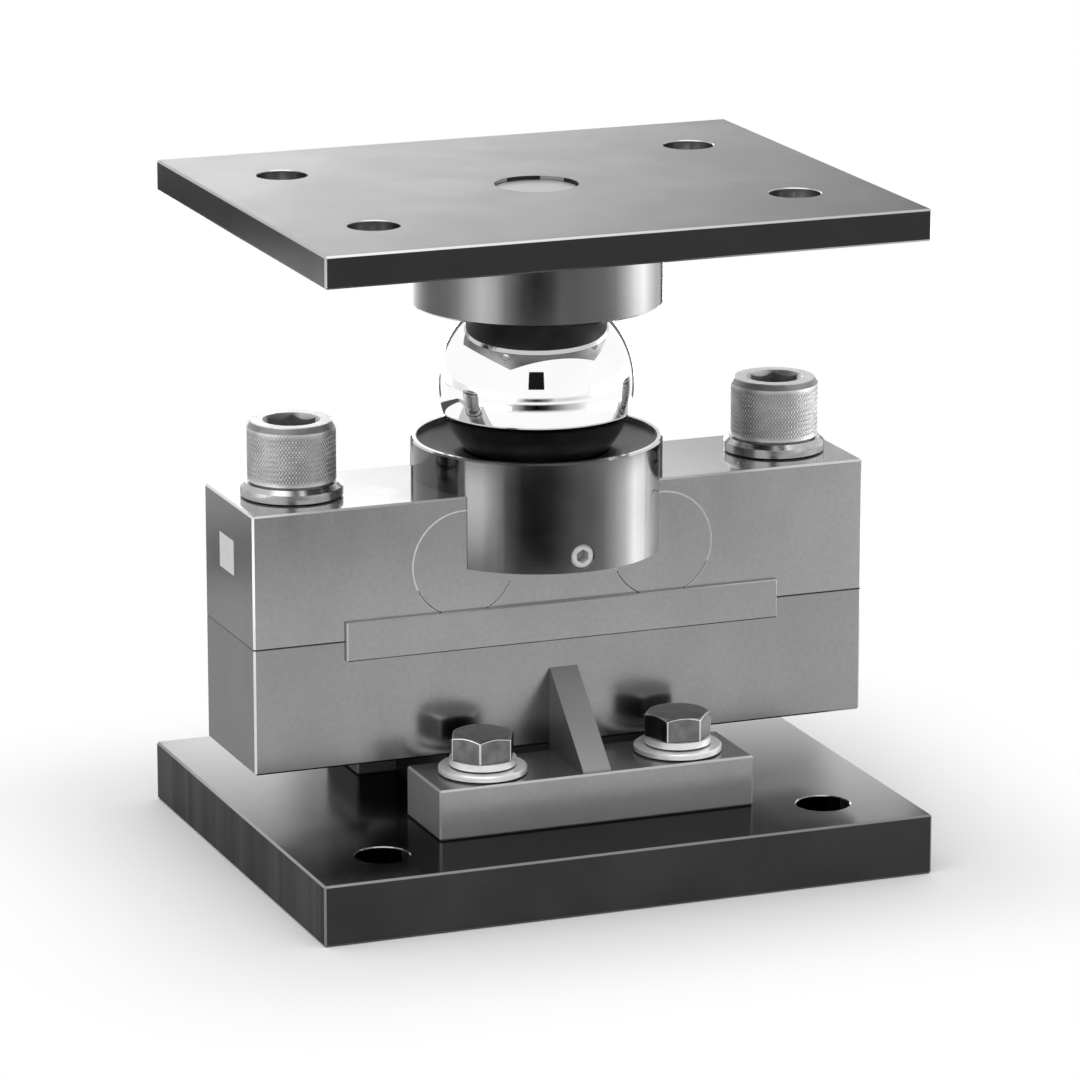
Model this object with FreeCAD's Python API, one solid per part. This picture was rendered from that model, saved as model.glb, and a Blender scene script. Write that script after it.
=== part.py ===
import FreeCAD, Part
import math
import os

from FreeCAD import Vector

# Double ended beam load cell in a ball-and-cup weighing mount, in millimetres.
# +Z is up, X runs along the beam and -Y is the front.
# The origin is the middle of the base plate's underside.

# Clearances
fit_clearance = 0.1
slide_clearance = 0.3
ball_clearance = 0.05

# Base plate
base_length = 261.0
base_width = 214.0
base_thickness = 25.0
base_hole_diameter = 22.0
base_hole_spacing_x = 191.0
base_hole_spacing_y = 153.0

# Top plate
top_length = 254.0
top_width = 209.0
top_thickness = 13.0
top_hole_diameter = 21.0
top_hole_spacing_x = 179.0
top_hole_spacing_y = 110.0

# Broken edges
plate_chamfer = 0.8
bar_chamfer = 0.8
parting_chamfer = 0.25
hole_chamfer = 0.4
strip_chamfer = 0.5
cup_chamfer = 0.7
washer_chamfer = 0.5
washer_foot_chamfer = 0.6

# Beam, with two gauge cavities in each side face
beam_length = 265.0
beam_width = 60.0
beam_height = 55.0
relief_length = 172.0
relief_depth = 1.2
web_thickness = 16.0
cavity_spacing = 86.0
cavity_diameter = 38.0
cover_diameter = 44.0
cover_thickness = 3.0
cover_chamfer = 0.4
wire_duct_diameter = 5.0
wire_duct_inset = 11.0
web_hole_diameter = 4.0
web_hole_drop = 14.0

# Strain gauges and terminal board on the webs
gauge_size = 10.0
gauge_thickness = 0.4
gauge_turn = 45.0
board_length = 18.0
board_height = 6.0
board_thickness = 1.6
board_rise = 12.0

# Support block, pedestal, foot bars and gussets
block_height = 52.0
block_over_foot = 2.5
pedestal_length = 102.0
foot_length = 136.0
foot_depth = 38.5
foot_height = 21.0
gusset_thickness = 12.0
gusset_toe_setback = 1.5
gusset_toe_height = 1.0
gusset_slope_height = 34.5
gusset_nose = 0.5

# Cover strips over the gap between the beam and the block
strip_length = 187.5
strip_height = 16.2
strip_thickness = 2.0

# Blank label on the left end of the beam
label_width = 17.5
label_height = 14.3
label_thickness = 0.3
label_below_top = 22.5
label_set_back = 2.0

# Cap screws that hold the beam's ends down
screw_spacing = 211.0
screw_diameter = 24.0
screw_length = 100.0
screw_hole_diameter = 26.0
screw_tap_margin = 7.0
screw_head_diameter = 36.0
screw_head_height = 25.0
screw_head_bevel = 1.5
screw_head_bevel_height = 2.5
screw_socket_width = 19.0
screw_socket_depth = 14.0
screw_socket_turn = 21.5
screw_socket_lead = 0.6
screw_washer_diameter = 41.5
screw_washer_thickness = 6.0
screw_washer_hole = 25.0
screw_washer_bevel = 1.8

# Hex bolts that hold the foot bars down
bolt_spacing = 85.0
bolt_diameter = 16.0
bolt_length = 45.0
bolt_hole_diameter = 17.5
bolt_across_flats = 24.0
bolt_head_height = 10.0
bolt_bevel_angle = 30.0
bolt_turns = {"front": (25.0, 40.5), "rear": (8.0, 51.0)}
spring_washer_diameter = 27.0
spring_washer_thickness = 3.5
spring_washer_slit = 1.6
spring_washer_lead = 20.0
flat_washer_diameter = 36.0
flat_washer_thickness = 3.0
washer_hole_diameter = 17.0

# Saddle cup, ball and upper cup
ball_diameter = 80.0
cup_diameter = 103.0
cup_rim_height = 15.5
cup_skirt_depth = 30.0
cup_rim_width = 2.6
cup_rim_step = 2.0
cup_floor_drop = 3.5
cup_socket_radius = 42.0
cup_seat_depth = 18.0
cup_boss_diameter = 44.0
cup_boss_depth = 12.0
upper_cup_height = 34.8
upper_cup_seat_depth = 6.0
spigot_diameter = 34.0
spigot_setback = 1.5

# Set screws through the saddle cup's skirts
set_screw_diameter = 10.0
set_screw_rise = 6.5
set_screw_setback = 0.4
set_screw_bevel = 0.8
set_screw_socket_width = 5.0
set_screw_socket_depth = 6.0

# Cable gland on the back face of the beam
gland_x = 78.0
gland_thread_diameter = 16.0
gland_thread_length = 10.0
gland_across_flats = 20.0
gland_flange_thickness = 5.0
gland_neck_diameter = 14.0
gland_neck_length = 8.0
gland_cable_bore = 7.0
gland_seal_diameter = 11.0
gland_seal_length = 6.0
gland_nut_gap = 0.6
gland_nut_wall = 3.0

# Levels and planes worked out from the sizes
foot_top = base_thickness + foot_height
block_bottom = foot_top + block_over_foot
parting = block_bottom + block_height
beam_top = parting + beam_height
beam_middle = parting + beam_height / 2
beam_face = beam_width / 2
cup_rim = beam_top + cup_rim_height
cup_bottom = beam_top - cup_skirt_depth
ball_bottom = cup_rim - cup_seat_depth
ball_centre = ball_bottom + ball_diameter / 2
ball_top = ball_bottom + ball_diameter
upper_cup_bottom = ball_top - upper_cup_seat_depth
top_plate_bottom = upper_cup_bottom + upper_cup_height
top_plate_top = top_plate_bottom + top_thickness
strip_bottom = parting - strip_height / 2
strip_top = parting + strip_height / 2
foot_front = beam_face + foot_depth
bolt_row = beam_face + foot_depth / 2
set_screw_level = cup_bottom + set_screw_rise
cavity_x = cavity_spacing / 2
gland_outside = beam_face + gland_flange_thickness
gland_bore_depth = wire_duct_inset + wire_duct_diameter

up = Vector(0, 0, 1)
back = Vector(0, 1, 0)
along = Vector(1, 0, 0)
sides = {"front": -1, "rear": 1}
ends = {"left": -1, "right": 1}


# Shapes that several pieces share

def box(low, high):
    size = [high[i] - low[i] for i in range(3)]
    return Part.makeBox(size[0], size[1], size[2], Vector(*low))


def bar(length, width, bottom, top, chamfer):
    solid = box((-length / 2, -width / 2, bottom), (length / 2, width / 2, top))
    return solid.makeChamfer(chamfer, solid.Edges)


def on_parting(edge):
    return all(math.isclose(vertex.Z, parting) for vertex in edge.Vertexes)


def beam_bar(bottom, top):
    solid = box((-beam_length / 2, -beam_face, bottom), (beam_length / 2, beam_face, top))
    solid = solid.makeChamfer(bar_chamfer, [edge for edge in solid.Edges if not on_parting(edge)])
    return solid.makeChamfer(parting_chamfer, [edge for edge in solid.Edges if on_parting(edge)])


def rod(diameter, start, direction, length):
    return Part.makeCylinder(diameter / 2, length, Vector(*start), direction)


def turned(profile, x=0.0, y=0.0):
    corners = [Vector(radius, 0, height) for radius, height in profile]
    face = Part.Face(Part.makePolygon(corners + corners[:1]))
    solid = face.revolve(Vector(0, 0, 0), up, 360)
    solid.translate(Vector(x, y, 0))
    return solid


def turned_back(profile, x, z):
    solid = turned(profile)
    solid.rotate(Vector(0, 0, 0), along, -90)
    solid.translate(Vector(x, 0, z))
    return solid


def hexagon(across_flats, bottom, top, turn=0.0):
    radius = across_flats / math.sqrt(3)
    corners = []
    for i in range(7):
        angle = math.radians(60 * i)
        corners.append(Vector(radius * math.sin(angle), -radius * math.cos(angle), bottom))
    solid = Part.Face(Part.makePolygon(corners)).extrude(up * (top - bottom))
    solid.rotate(Vector(0, 0, 0), up, -turn)
    return solid


def through_hole(diameter, x, y, bottom, top):
    wide = diameter / 2 + hole_chamfer
    radius = diameter / 2
    profile = [(0, bottom), (wide, bottom), (radius, bottom + hole_chamfer)]
    profile += [(radius, top - hole_chamfer), (wide, top), (0, top)]
    return turned(profile, x, y)


def corner_holes(diameter, spacing_x, spacing_y, bottom, top):
    holes = []
    for x in (-spacing_x / 2, spacing_x / 2):
        for y in (-spacing_y / 2, spacing_y / 2):
            holes.append(through_hole(diameter, x, y, bottom, top))
    return holes


def washer(diameter, hole, bottom, thickness, bevel):
    top = bottom + thickness
    outer = diameter / 2
    inner = hole / 2
    profile = [(inner, bottom), (outer - washer_foot_chamfer, bottom), (outer, bottom + washer_foot_chamfer)]
    profile += [(outer, top - bevel), (outer - bevel, top), (inner, top)]
    return turned(profile)


def placed(solid, x, y):
    copy = solid.copy()
    copy.translate(Vector(x, y, 0))
    return copy


# Plates

def base_plate():
    plate = bar(base_length, base_width, 0, base_thickness, plate_chamfer)
    holes = corner_holes(base_hole_diameter, base_hole_spacing_x, base_hole_spacing_y, 0, base_thickness)
    for x, y, turn in bolt_places():
        holes.append(rod(bolt_diameter + 2 * fit_clearance, (x, y, 0), up, base_thickness))
    return plate.cut(holes)


def top_plate():
    plate = bar(top_length, top_width, top_plate_bottom, top_plate_top, plate_chamfer)
    holes = corner_holes(
        top_hole_diameter, top_hole_spacing_x, top_hole_spacing_y, top_plate_bottom, top_plate_top
    )
    holes.append(rod(spigot_diameter + 2 * fit_clearance, (0, 0, top_plate_bottom), up, top_thickness))
    return plate.cut(holes)


# Support under the beam

def pedestal():
    half = pedestal_length / 2
    return box((-half, -beam_face, base_thickness), (half, beam_face, block_bottom))


def support_block():
    block = beam_bar(block_bottom, parting)
    depth = screw_length - screw_washer_thickness - beam_height + screw_tap_margin
    taps = []
    for sign in ends.values():
        start = (sign * screw_spacing / 2, 0, parting - depth)
        taps.append(rod(screw_diameter + 2 * fit_clearance, start, up, depth))
    return block.cut(taps)


def foot_bar(sign):
    foot = bar(foot_length, foot_depth, base_thickness, foot_top, bar_chamfer)
    foot.translate(Vector(0, sign * bolt_row, 0))
    holes = []
    for end in ends.values():
        start = (end * bolt_spacing / 2, sign * bolt_row, base_thickness)
        holes.append(rod(bolt_hole_diameter, start, up, foot_height))
    return foot.cut(holes)


def gusset(sign):
    toe = foot_front - gusset_toe_setback
    nose = beam_face + gusset_nose
    slope_top = foot_top + gusset_slope_height
    outline = [(beam_face, foot_top), (toe, foot_top), (toe, foot_top + gusset_toe_height)]
    outline += [(nose, slope_top), (beam_face, slope_top)]
    corners = [Vector(-gusset_thickness / 2, sign * y, z) for y, z in outline]
    face = Part.Face(Part.makePolygon(corners + corners[:1]))
    return face.extrude(along * gusset_thickness)


# Beam and what is fitted to it

def cavity_tools(sign_x, sign_y):
    x = sign_x * cavity_x
    face = sign_y * beam_face
    inward = back * -sign_y
    depth = beam_face - web_thickness / 2
    pocket = rod(cavity_diameter, (x, face, beam_middle), inward, depth)
    seat = rod(cover_diameter + 2 * fit_clearance, (x, face, beam_middle), inward, cover_thickness)
    return [pocket, seat]


def beam_body():
    beam = beam_bar(parting, beam_top)
    half = relief_length / 2
    cuts = [box((-half, -beam_face, parting), (half, beam_face, parting + relief_depth))]
    pocket_depth = cup_boss_depth + slide_clearance
    pocket_diameter = cup_boss_diameter + 2 * fit_clearance
    cuts.append(rod(pocket_diameter, (0, 0, beam_top - pocket_depth), up, pocket_depth))
    for sign_x in ends.values():
        x = sign_x * screw_spacing / 2
        cuts.append(rod(screw_hole_diameter, (x, 0, parting), up, beam_height))
        for sign_y in sides.values():
            cuts += cavity_tools(sign_x, sign_y)
        web_hole = (sign_x * cavity_x, -web_thickness / 2, beam_middle - web_hole_drop)
        cuts.append(rod(web_hole_diameter, web_hole, back, web_thickness))
    gland_bore = gland_thread_diameter + 2 * fit_clearance
    cuts.append(rod(gland_bore, (gland_x, beam_face, beam_middle), -back, gland_bore_depth))
    duct_start = (-cavity_x, beam_face - wire_duct_inset, beam_middle)
    cuts.append(rod(wire_duct_diameter, duct_start, along, cavity_x + gland_x))
    return beam.cut(cuts)


def cavity_cover(sign_x, sign_y):
    inner = beam_face - cover_thickness
    radius = cover_diameter / 2
    profile = [(0, inner), (radius, inner), (radius, beam_face - cover_chamfer)]
    profile += [(radius - cover_chamfer, beam_face), (0, beam_face)]
    cover = turned_back(profile, sign_x * cavity_x, beam_middle)
    return cover if sign_y > 0 else cover.mirror(Vector(0, 0, 0), back)


def strain_gauge(sign_x, sign_y):
    half = gauge_size / 2
    web = web_thickness / 2
    pad = box((-half, web, -half), (half, web + gauge_thickness, half))
    pad.rotate(Vector(0, 0, 0), back, gauge_turn)
    pad.translate(Vector(sign_x * cavity_x, 0, beam_middle))
    return pad if sign_y > 0 else pad.mirror(Vector(0, 0, 0), back)


def terminal_board():
    web = web_thickness / 2
    low = (cavity_x - board_length / 2, web, beam_middle + board_rise - board_height / 2)
    high = (cavity_x + board_length / 2, web + board_thickness, beam_middle + board_rise + board_height / 2)
    return box(low, high)


def gap_cover(sign):
    half = strip_length / 2
    outside = beam_face + strip_thickness
    strip = box((-half, beam_face, strip_bottom), (half, outside, strip_top))
    outer = [edge for edge in strip.Edges if edge.BoundBox.YMin > outside - strip_thickness / 2]
    strip = strip.makeChamfer(strip_chamfer, outer)
    return strip if sign > 0 else strip.mirror(Vector(0, 0, 0), back)


def end_label():
    face = -beam_length / 2
    middle = beam_top - label_below_top
    low = (face - label_thickness, label_set_back - label_width / 2, middle - label_height / 2)
    return box(low, (face, label_set_back + label_width / 2, middle + label_height / 2))


# Ball and cups

def ball():
    return Part.makeSphere(ball_diameter / 2, Vector(0, 0, ball_centre))


def saddle_cup():
    radius = cup_diameter / 2
    profile = [(0, cup_bottom), (radius, cup_bottom), (radius, cup_rim - cup_chamfer)]
    profile += [(radius - cup_chamfer, cup_rim), (0, cup_rim)]
    cup = turned(profile)
    slot = beam_face + slide_clearance
    cup = cup.cut(box((-cup_diameter, -slot, cup_bottom), (cup_diameter, slot, beam_top)))
    boss = rod(cup_boss_diameter, (0, 0, beam_top - cup_boss_depth), up, cup_boss_depth)
    cup = cup.fuse(boss).removeSplitter()
    seat = ball_bottom - ball_clearance
    socket_centre = seat + cup_socket_radius
    floor = cup_rim - cup_rim_step - cup_floor_drop
    floor_radius = math.sqrt(cup_socket_radius ** 2 - (socket_centre - floor) ** 2)
    lip = radius - cup_rim_width
    step = cup_rim - cup_rim_step
    dish = turned([(0, floor), (floor_radius, floor), (lip, step), (lip, cup_rim), (0, cup_rim)])
    socket = Part.makeSphere(cup_socket_radius, Vector(0, 0, socket_centre))
    cuts = [dish, socket]
    for sign in sides.values():
        start = (0, sign * beam_face, set_screw_level)
        cuts.append(rod(set_screw_diameter + 2 * fit_clearance, start, back * sign, radius - beam_face))
    return cup.cut(cuts)


def upper_cup():
    radius = cup_diameter / 2
    bottom = upper_cup_bottom
    spigot_top = top_plate_top - spigot_setback
    spigot = spigot_diameter / 2
    profile = [(0, bottom), (radius - cup_chamfer, bottom), (radius, bottom + cup_chamfer)]
    profile += [(radius, top_plate_bottom), (spigot, top_plate_bottom), (spigot, spigot_top - hole_chamfer)]
    profile += [(spigot - hole_chamfer, spigot_top), (0, spigot_top)]
    socket_centre = ball_top + ball_clearance - cup_socket_radius
    return turned(profile).cut(Part.makeSphere(cup_socket_radius, Vector(0, 0, socket_centre)))


# Fasteners

def bolt_places():
    places = []
    for side, sign in sides.items():
        for end, turn in zip(ends.values(), bolt_turns[side]):
            places.append((end * bolt_spacing / 2, sign * bolt_row, turn))
    return places


def screw_places():
    return [(sign * screw_spacing / 2, 0) for sign in ends.values()]


def cap_screws():
    seat = beam_top + screw_washer_thickness
    top = seat + screw_head_height
    shank = screw_diameter / 2
    head = screw_head_diameter / 2
    profile = [(0, seat - screw_length), (shank, seat - screw_length), (shank, seat), (head, seat)]
    profile += [(head, top - screw_head_bevel_height), (head - screw_head_bevel, top), (0, top)]
    socket = hexagon(screw_socket_width, top - screw_socket_depth, top, screw_socket_turn)
    mouth = screw_socket_width / math.sqrt(3) + screw_socket_lead
    lead = turned([(0, top - mouth), (mouth, top), (0, top)])
    screw = turned(profile).cut([socket, lead])
    return Part.makeCompound([placed(screw, x, y) for x, y in screw_places()])


def cap_screw_washers():
    ring = washer(
        screw_washer_diameter, screw_washer_hole, beam_top, screw_washer_thickness, screw_washer_bevel
    )
    return Part.makeCompound([placed(ring, x, y) for x, y in screw_places()])


def foot_bolts():
    seat = foot_top + flat_washer_thickness + spring_washer_thickness
    top = seat + bolt_head_height
    flat = bolt_across_flats / 2
    corner = bolt_across_flats / math.sqrt(3)
    drop = (corner - flat) * math.tan(math.radians(bolt_bevel_angle))
    bevel = turned([(0, seat), (corner, seat), (corner, top - drop), (flat, top), (0, top)])
    shank = rod(bolt_diameter, (0, 0, seat - bolt_length), up, bolt_length)
    bolts = []
    for x, y, turn in bolt_places():
        head = hexagon(bolt_across_flats, seat, top, turn).common(bevel)
        bolts.append(placed(head.fuse(shank).removeSplitter(), x, y))
    return Part.makeCompound(bolts)


def foot_spring_washers():
    bottom = foot_top + flat_washer_thickness
    outer = spring_washer_diameter / 2
    inner = washer_hole_diameter / 2
    top = bottom + spring_washer_thickness
    ring = turned([(inner, bottom), (outer, bottom), (outer, top), (inner, top)])
    slit = box((0, -spring_washer_slit / 2, bottom), (spring_washer_diameter, spring_washer_slit / 2, top))
    slit.rotate(Vector(0, 0, (bottom + top) / 2), along, spring_washer_lead)
    slit = slit.common(box((0, -outer, bottom), (outer, outer, top)))
    ring = ring.cut(slit)
    return Part.makeCompound([placed(ring, x, y) for x, y, turn in bolt_places()])


def foot_flat_washers():
    ring = washer(
        flat_washer_diameter, washer_hole_diameter, foot_top, flat_washer_thickness, washer_chamfer
    )
    return Part.makeCompound([placed(ring, x, y) for x, y, turn in bolt_places()])


def cup_set_screws():
    radius = set_screw_diameter / 2
    outside = cup_diameter / 2 - set_screw_setback
    tip = radius - set_screw_bevel
    profile = [(0, beam_face), (tip, beam_face), (radius, beam_face + set_screw_bevel)]
    profile += [(radius, outside - set_screw_bevel), (tip, outside), (0, outside)]
    socket = hexagon(set_screw_socket_width, outside - set_screw_socket_depth, outside)
    screw = turned(profile).cut(socket)
    screw.rotate(Vector(0, 0, 0), along, -90)
    screw.translate(Vector(0, 0, set_screw_level))
    return Part.makeCompound([screw, screw.mirror(Vector(0, 0, 0), back)])


# Cable gland

def gland_body():
    thread = gland_thread_diameter / 2
    neck = gland_neck_diameter / 2
    bore = gland_cable_bore / 2
    pocket = gland_seal_diameter / 2 + fit_clearance
    inside = beam_face - gland_thread_length
    end = gland_outside + gland_neck_length
    seat = end - gland_seal_length
    profile = [(bore, inside), (thread, inside), (thread, beam_face), (neck, beam_face)]
    profile += [(neck, end), (pocket, end), (pocket, seat), (bore, seat)]
    core = rod(gland_neck_diameter, (0, 0, beam_face), up, gland_flange_thickness)
    flange = hexagon(gland_across_flats, beam_face, gland_outside).cut(core)
    body = turned(profile).fuse(flange).removeSplitter()
    body.rotate(Vector(0, 0, 0), along, -90)
    body.translate(Vector(gland_x, 0, beam_middle))
    return body


def gland_seal():
    outer = gland_seal_diameter / 2
    inner = gland_cable_bore / 2
    end = gland_outside + gland_neck_length
    seat = end - gland_seal_length
    profile = [(inner, seat), (outer, seat), (outer, end), (inner, end)]
    return turned_back(profile, gland_x, beam_middle)


def gland_nut():
    corner = gland_across_flats / math.sqrt(3)
    thread = gland_neck_diameter / 2 + fit_clearance
    bore = gland_cable_bore / 2
    start = gland_outside + gland_nut_gap
    shoulder = gland_outside + gland_neck_length
    end = shoulder + gland_nut_wall
    profile = [(thread, start), (corner, start), (corner, shoulder), (corner - gland_nut_wall, end)]
    profile += [(bore, end), (bore, shoulder), (thread, shoulder)]
    nut = turned(profile).common(hexagon(gland_across_flats, start, end))
    nut.rotate(Vector(0, 0, 0), along, -90)
    nut.translate(Vector(gland_x, 0, beam_middle))
    return nut


# Every node and its shape

def nodes():
    shapes = {"base_plate": base_plate(), "pedestal": pedestal(), "support_block": support_block()}
    for side, sign in sides.items():
        shapes[side + "_foot_bar"] = foot_bar(sign)
        shapes[side + "_gusset"] = gusset(sign)
        shapes[side + "_gap_cover"] = gap_cover(sign)
        for end, sign_x in ends.items():
            shapes[side + "_" + end + "_cavity_cover"] = cavity_cover(sign_x, sign)
            shapes[side + "_" + end + "_strain_gauge"] = strain_gauge(sign_x, sign)
    shapes["beam_body"] = beam_body()
    shapes["terminal_board"] = terminal_board()
    shapes["end_label"] = end_label()
    shapes["saddle_cup"] = saddle_cup()
    shapes["ball"] = ball()
    shapes["upper_cup"] = upper_cup()
    shapes["top_plate"] = top_plate()
    shapes["cap_screws"] = cap_screws()
    shapes["cap_screw_washers"] = cap_screw_washers()
    shapes["foot_bolts"] = foot_bolts()
    shapes["foot_spring_washers"] = foot_spring_washers()
    shapes["foot_flat_washers"] = foot_flat_washers()
    shapes["cup_set_screws"] = cup_set_screws()
    shapes["gland_body"] = gland_body()
    shapes["gland_seal"] = gland_seal()
    shapes["gland_nut"] = gland_nut()
    return shapes


os.makedirs("parts", exist_ok=True)
for name, shape in nodes().items():
    shape.exportStep("parts/" + name + ".step")
    print(name, len(shape.Solids), shape.isValid(), round(shape.Volume, 1))
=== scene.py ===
import math

import bpy
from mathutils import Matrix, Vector

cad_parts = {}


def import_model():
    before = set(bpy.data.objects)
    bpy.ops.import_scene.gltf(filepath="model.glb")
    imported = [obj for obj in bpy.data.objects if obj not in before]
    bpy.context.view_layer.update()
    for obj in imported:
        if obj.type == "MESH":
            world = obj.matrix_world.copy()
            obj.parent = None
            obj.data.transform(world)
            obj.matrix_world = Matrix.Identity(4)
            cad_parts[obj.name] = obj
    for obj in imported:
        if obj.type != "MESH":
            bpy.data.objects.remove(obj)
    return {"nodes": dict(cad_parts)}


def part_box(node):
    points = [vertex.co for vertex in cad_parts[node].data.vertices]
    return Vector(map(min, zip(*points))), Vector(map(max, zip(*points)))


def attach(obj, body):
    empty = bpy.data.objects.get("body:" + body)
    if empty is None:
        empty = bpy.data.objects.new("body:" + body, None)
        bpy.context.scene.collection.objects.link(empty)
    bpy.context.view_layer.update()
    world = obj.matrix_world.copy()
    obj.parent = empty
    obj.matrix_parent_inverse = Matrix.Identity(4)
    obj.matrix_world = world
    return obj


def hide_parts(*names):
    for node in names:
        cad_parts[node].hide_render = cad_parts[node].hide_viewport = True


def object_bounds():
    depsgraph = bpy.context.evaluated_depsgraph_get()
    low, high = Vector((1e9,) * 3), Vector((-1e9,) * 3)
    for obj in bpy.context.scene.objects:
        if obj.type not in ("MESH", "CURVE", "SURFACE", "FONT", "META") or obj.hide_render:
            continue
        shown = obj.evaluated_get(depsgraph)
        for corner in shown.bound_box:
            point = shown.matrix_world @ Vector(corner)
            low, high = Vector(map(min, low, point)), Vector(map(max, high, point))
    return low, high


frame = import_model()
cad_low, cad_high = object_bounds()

# Looks of a double ended beam load cell in its ball-and-cup mount, in metres.
# The frame is the solid model's own: +Z up, X along the beam and -Y the front.
# Inside the materials, places and reaches are in millimetres.

mm = 0.001
black = (0, 0, 0, 1)
white = (1, 1, 1, 1)

# Camera
view_turn = math.radians(-21.38)
view_rise = math.radians(14.60)
view_distance = 2.413
view_target = Vector((0.00156, 0.0, 0.12627))
view_lens = 196.41
view_end = 50.0
sensor_width = 36.0

# Floor, world and lamp
floor_size = 16.0
floor_drop = 0.05 * mm
floor_colour = (0.9, 0.9, 0.9, 1.0)
floor_rough = 0.9
floor_gloss = 0.1
floor_shade_near = 0.01
floor_shade_far = 0.13
world_level = 0.75
white_level = 1.0
lamp_place = Vector((-0.3, -0.4, 2.2))
lamp_target = Vector((0.0, 0.0, 0.13))
lamp_size = 2.0
lamp_radiance = 1.5

# Cards that only gloss sees, where a tone of 1 is the studio's white. The one at the camera is dark.
camera_card_distance = 2.6
camera_card_columns = (-0.42, 0.42)
camera_card_rows = (0.35, 1.35)
camera_card_tone = 0.01

# The one behind goes from a left to a right tone across its blend width. Each row is
# a height, the left tone, the right tone, and the share of them that the middle columns show.
back_card_distance = 0.8
back_blend_width = 0.44
back_columns = (-0.42, -0.22, -0.147, -0.127, 0.0, 0.08, 0.15, 0.168, 0.22, 0.42)
back_middle = (-0.13, 0.155)
back_rows = (
    (0.0, 7.6, 6.6, 1.0),
    (0.21, 7.6, 6.6, 1.0),
    (0.23, 7.6, 6.2, 1.0),
    (0.247, 7.6, 5.2, 0.25),
    (0.266, 6.0, 4.6, 0.02),
    (0.285, 2.6, 3.5, 0.02),
    (0.31, 0.7, 0.6, 0.1),
    (0.335, 1.65, 0.36, 1.0),
    (0.352, 2.1, 0.3, 1.0),
    (0.368, 1.5, 0.28, 1.0),
    (0.384, 1.05, 0.3, 1.0),
    (0.395, 6.2, 1.84, 1.0),
    (0.42, 4.8, 1.4, 1.0),
    (0.446, 3.2, 0.8, 1.0),
    (0.475, 1.9, 0.5, 1.0),
    (1.0, 1.0, 0.8, 1.0),
)

# The ones round the part are fans: a name, stops of turn from the camera in degrees and tone,
# and rings of radius, height and the share of the tone that shows there, the rest being white.
mat_height = 2 * mm
strip_radius = 0.45
edge_radius = 0.7
edge_height = 0.45
dark_radius = 0.9
fan_cards = (
    (
        "lower_mat",
        (
            (-36, 1.0), (-24, 0.4), (-12, 0.04), (0, 0.0), (12, 0.03),
            (24, 0.22), (36, 0.48), (48, 0.62), (60, 0.95), (66, 1.0),
        ),
        ((0.46, mat_height, 0.0), (0.54, mat_height, 1.0), (0.74, mat_height, 1.0), (0.84, mat_height, 0.0)),
    ),
    (
        "upper_mat",
        ((-24, 1.0), (-12, 0.2), (0, 0.02), (12, 0.2), (22, 0.7), (36, 0.65), (60, 0.85), (70, 1.0)),
        ((0.92, mat_height, 0.0), (1.08, mat_height, 1.0), (1.36, mat_height, 1.0), (1.8, mat_height, 0.0)),
    ),
    (
        "left_mat",
        ((-170, 0.08), (-104, 0.08), (-92, 1.0)),
        ((0.6, mat_height, 1.0), (0.71, mat_height, 1.0)),
    ),
    (
        "left_low",
        ((-96, 0.3), (-84, 1.05), (-72, 2.9), (-60, 3.9), (-48, 3.8), (-36, 2.0), (-28, 1.0)),
        ((strip_radius, 0.018, 0.0), (strip_radius, 0.05, 1.0), (strip_radius, 0.068, 1.0)),
    ),
    (
        "left_high",
        (
            (-156, 4.0), (-144, 2.4), (-120, 1.2), (-108, 0.87), (-96, 0.8), (-84, 0.9),
            (-72, 1.4), (-60, 2.7), (-48, 3.9), (-36, 3.0), (-26, 1.2), (-22, 1.0),
        ),
        ((strip_radius, 0.125, 1.0), (strip_radius, 0.174, 1.0)),
    ),
    (
        "right_low",
        ((60, 1.0), (72, 2.05), (84, 3.4), (96, 6.4), (108, 5.0), (120, 2.8), (135, 1.5), (150, 1.2)),
        ((strip_radius, 0.0, 1.0), (strip_radius, 0.068, 1.0)),
    ),
    (
        "right_high",
        ((60, 0.9), (72, 1.34), (84, 3.0), (96, 5.4), (108, 6.4), (120, 3.6), (132, 1.8), (144, 1.2)),
        ((strip_radius, 0.125, 1.0), (strip_radius, 0.2, 1.0)),
    ),
    ("left_edge", ((-163, 0.15), (-150, 0.15)), ((edge_radius, 0.0, 1.0), (edge_radius, edge_height, 1.0))),
    ("right_edge", ((150, 0.15), (163, 0.15)), ((edge_radius, 0.0, 1.0), (edge_radius, edge_height, 1.0))),
    ("left_dark", ((-145, 0.1), (-113, 0.1)), ((dark_radius, 0.05, 1.0), (dark_radius, 0.145, 1.0))),
)

# Least share of a face's normal along an axis: square to it, leaning towards it, and in a dished seat
square_share = 0.9
lean_share = 0.3
seat_share = 0.1

# Black oxide plates: the streaks on the ends, as a share of the tone and added roughness, and the underside
streak_share = 0.2
streak_rough = 0.06
under_tones = (0.15, 0.21)

# Satin steel: the line between the beam and the block, the bores with a pale painted highlight round the
# covers, and the gloss where it isn't bare metal
parting_level = 100.5
parting_reach = 0.35
parting_tone = 0.08
bore_margin = 0.2
bore_highlight_tone = 0.85
satin_gloss = 0.1
satin_roughs = (0.18, 0.24)

# Turned cups: the spigot's end, the level rims with a pale painted highlight tone, and the dished seats,
# near black as painted shade
spigot_reach = 18.0
rim_highlight_tone = 0.6
seat_shade_tones = (0.015, 0.03)
dull_rough = 0.45

# Painted shade: a dark line at the foot of the washers, where they sit on their seats
washer_shade_height = 0.7
washer_shade_tone = 0.02

# Height of the finest grain of the coated pieces
fine_grain = 0.002 * mm

# Wear and painted highlight along the fasteners' edges and knurl crests, from none to bare metal
wear_and_highlight_none = 0.0
wear_and_highlight_bevel = 0.1
wear_and_highlight_socket = 0.3
wear_and_highlight_shank = 0.5
wear_and_highlight_full = 1.0

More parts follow.
